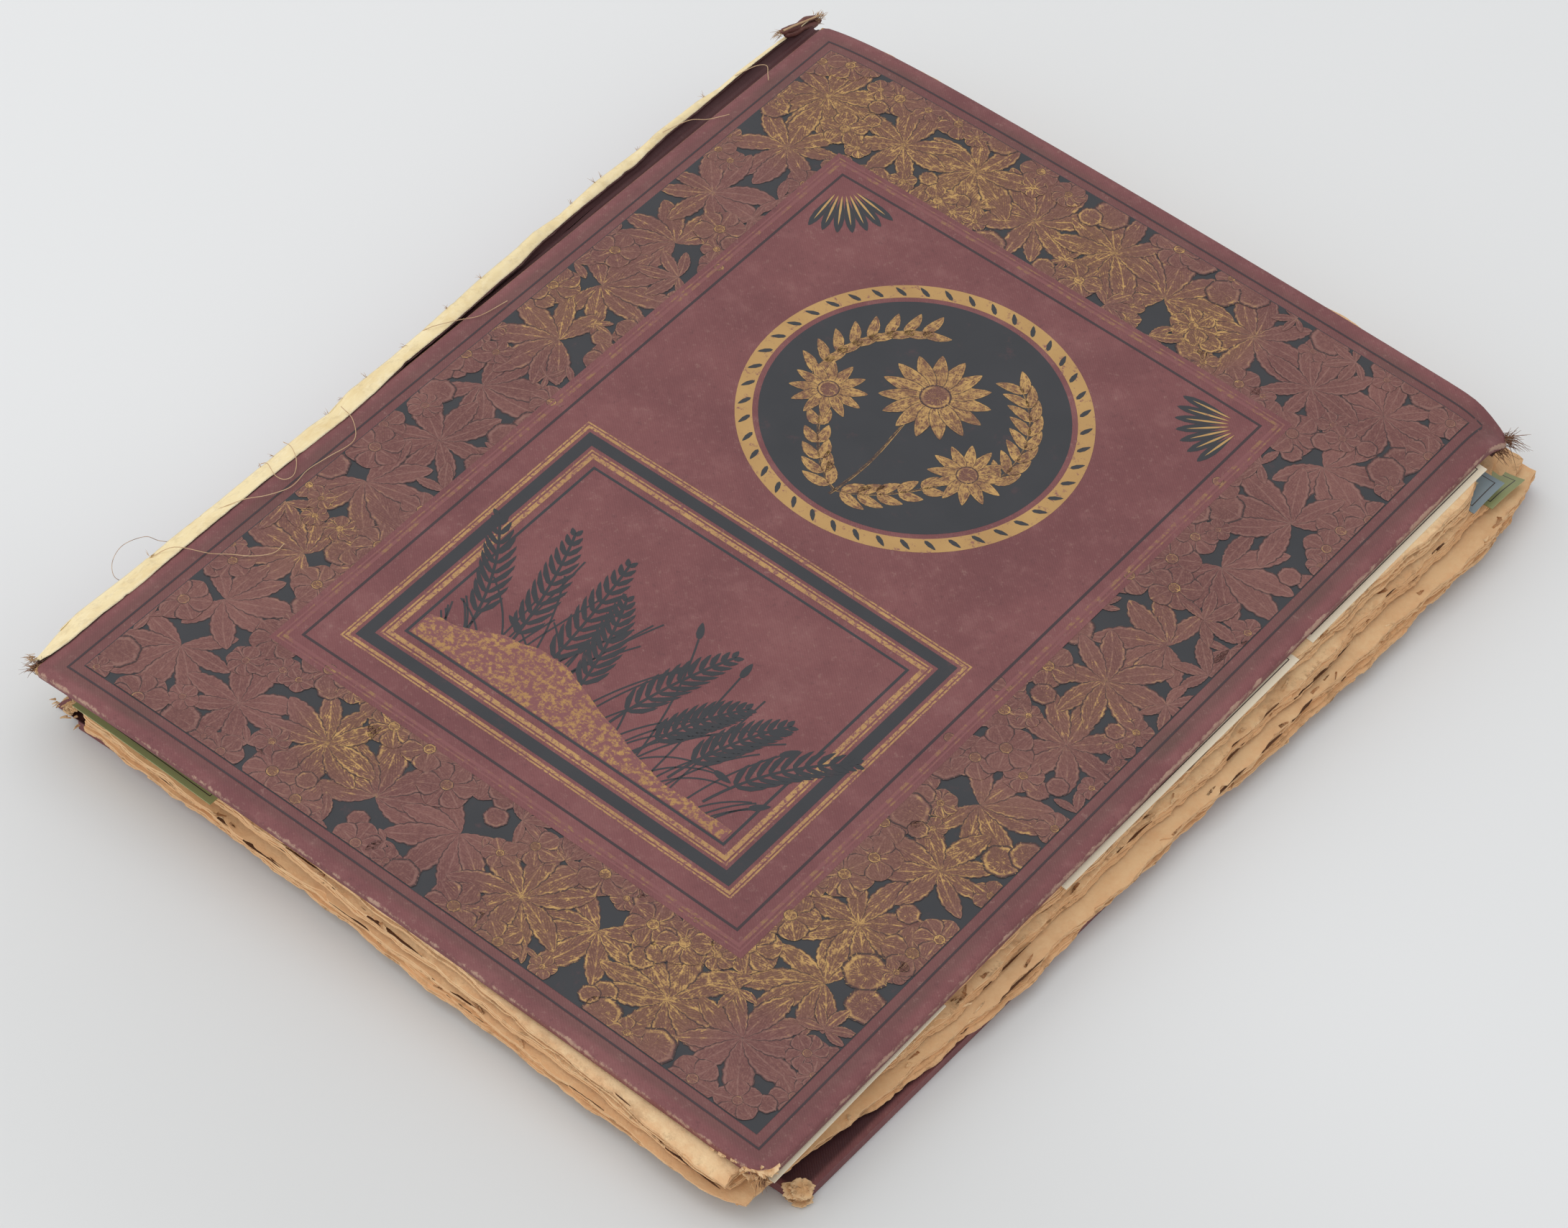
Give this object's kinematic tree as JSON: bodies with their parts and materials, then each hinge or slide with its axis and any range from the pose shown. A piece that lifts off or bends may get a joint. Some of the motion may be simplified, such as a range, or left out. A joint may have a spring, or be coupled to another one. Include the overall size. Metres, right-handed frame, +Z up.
{
  "type": "trade card album",
  "caption": "Worn cloth-bound album lying closed, with a bent front cover, torn leaves holding mounted cards, sewn guards and a loose spine flap.",
  "frame": {"origin": "middle of the back cover's underside, on the surface that the album lies on", "axes": "+X from the spine to the fore edge, +Y from the tail to the head, +Z up through the front cover"},
  "size_m": [0.263, 0.3454, 0.0398],
  "materials": {
    "book_cloth": "faded maroon book cloth stamped in black and gold",
    "board": "grey-brown millboard",
    "dark_paper": "dark red paper",
    "leaf_paper": "aged tan paper with torn edges",
    "card_paper": "off-white card",
    "linen": "raw linen tape, thread and gauze",
    "liner": "cream paper over thin card, torn at the edge"
  },
  "bodies": {
    "back_cover": {"back_board": "board", "back_cloth": "book_cloth", "back_pastedown": "dark_paper", "back_joint_cloth": "book_cloth"},
    "text_block": {"back_endpaper": "dark_paper", "guards": "leaf_paper", "sewing_tapes": "linen", "sewing_threads": "linen", "back_gauze": "linen", "back_lining": "leaf_paper", "front_gauze": "linen"},
    "spine_flap": {"spine_liner": "liner", "spine_cloth": "book_cloth"},
    "front_cover": {"front_board": "board", "front_cloth": "book_cloth", "front_pastedown": "dark_paper", "front_joint_cloth": "book_cloth"},
    "leaf_01": {"leaf_01": "leaf_paper", "cards_01": "card_paper"},
    "leaf_02": {"leaf_02": "leaf_paper", "cards_02": "card_paper"},
    "leaf_03": {"leaf_03": "leaf_paper", "cards_03": "card_paper"},
    "leaf_04": {"leaf_04": "leaf_paper", "cards_04": "card_paper"},
    "leaf_05": {"leaf_05": "leaf_paper", "cards_05": "card_paper"},
    "leaf_06": {"leaf_06": "leaf_paper", "cards_06": "card_paper"},
    "leaf_07": {"leaf_07": "leaf_paper", "cards_07": "card_paper"},
    "leaf_08": {"leaf_08": "leaf_paper", "cards_08": "card_paper"},
    "leaf_09": {"leaf_09": "leaf_paper", "cards_09": "card_paper"},
    "leaf_10": {"leaf_10": "leaf_paper", "cards_10": "card_paper"}
  },
  "joints": [
    {"name": "back_joint", "type": "hinge", "parent": "back_cover", "child": "text_block", "pos_m": [-0.1336, 0, 0.0012], "axis": [0, -1, 0], "range_deg": [0, 110]},
    {"name": "cover_open", "type": "hinge", "parent": "text_block", "child": "front_cover", "pos_m": [-0.1295, -0.165, 0.0263], "axis": [0, -0.9996, -0.0276], "range_deg": [0, 180]},
    {"name": "spine_fold", "type": "hinge", "parent": "text_block", "child": "spine_flap", "pos_m": [-0.1336, 0, 0.0012], "axis": [0, -1, 0], "range_deg": [0, 70]},
    {"name": "leaf_01_turn", "type": "hinge", "parent": "text_block", "child": "leaf_01", "pos_m": [-0.1295, -0.165, 0.0263], "axis": [0, -0.9996, -0.0276], "range_deg": [0, 177.9]},
    {"name": "leaf_02_turn", "type": "hinge", "parent": "text_block", "child": "leaf_02", "pos_m": [-0.1295, -0.165, 0.0263], "axis": [0, -0.9996, -0.0276], "range_deg": [0, 176.1]},
    {"name": "leaf_03_turn", "type": "hinge", "parent": "text_block", "child": "leaf_03", "pos_m": [-0.1295, -0.165, 0.0263], "axis": [0, -0.9996, -0.0276], "range_deg": [0, 174.3]},
    {"name": "leaf_04_turn", "type": "hinge", "parent": "text_block", "child": "leaf_04", "pos_m": [-0.1295, -0.165, 0.0263], "axis": [0, -0.9996, -0.0276], "range_deg": [0, 172.5]},
    {"name": "leaf_05_turn", "type": "hinge", "parent": "text_block", "child": "leaf_05", "pos_m": [-0.1295, -0.165, 0.0263], "axis": [0, -0.9996, -0.0276], "range_deg": [0, 170.7]},
    {"name": "leaf_06_turn", "type": "hinge", "parent": "text_block", "child": "leaf_06", "pos_m": [-0.1295, -0.165, 0.0263], "axis": [0, -0.9996, -0.0276], "range_deg": [0, 18.6]},
    {"name": "leaf_07_turn", "type": "hinge", "parent": "text_block", "child": "leaf_07", "pos_m": [-0.1295, -0.165, 0.0263], "axis": [0, -0.9996, -0.0276], "range_deg": [0, 15]},
    {"name": "leaf_08_turn", "type": "hinge", "parent": "text_block", "child": "leaf_08", "pos_m": [-0.1295, -0.165, 0.0263], "axis": [0, -0.9996, -0.0276], "range_deg": [0, 11.4]},
    {"name": "leaf_09_turn", "type": "hinge", "parent": "text_block", "child": "leaf_09", "pos_m": [-0.1295, -0.165, 0.0263], "axis": [0, -0.9996, -0.0276], "range_deg": [0, 7.8]},
    {"name": "leaf_10_turn", "type": "hinge", "parent": "text_block", "child": "leaf_10", "pos_m": [-0.1295, -0.165, 0.0263], "axis": [0, -0.9996, -0.0276], "range_deg": [0, 4.2]}
  ],
  "couplings": [
    {"joint": "spine_fold", "follows": "cover_open", "ratio": 0.375},
    {"joint": "leaf_01_turn", "follows": "cover_open", "ratio": 0.985},
    {"joint": "leaf_02_turn", "follows": "cover_open", "ratio": 0.975},
    {"joint": "leaf_03_turn", "follows": "cover_open", "ratio": 0.965},
    {"joint": "leaf_04_turn", "follows": "cover_open", "ratio": 0.955},
    {"joint": "leaf_05_turn", "follows": "cover_open", "ratio": 0.945},
    {"joint": "leaf_06_turn", "follows": "cover_open", "ratio": 0.1},
    {"joint": "leaf_07_turn", "follows": "cover_open", "ratio": 0.08},
    {"joint": "leaf_08_turn", "follows": "cover_open", "ratio": 0.06},
    {"joint": "leaf_09_turn", "follows": "cover_open", "ratio": 0.04},
    {"joint": "leaf_10_turn", "follows": "cover_open", "ratio": 0.02}
  ]
}
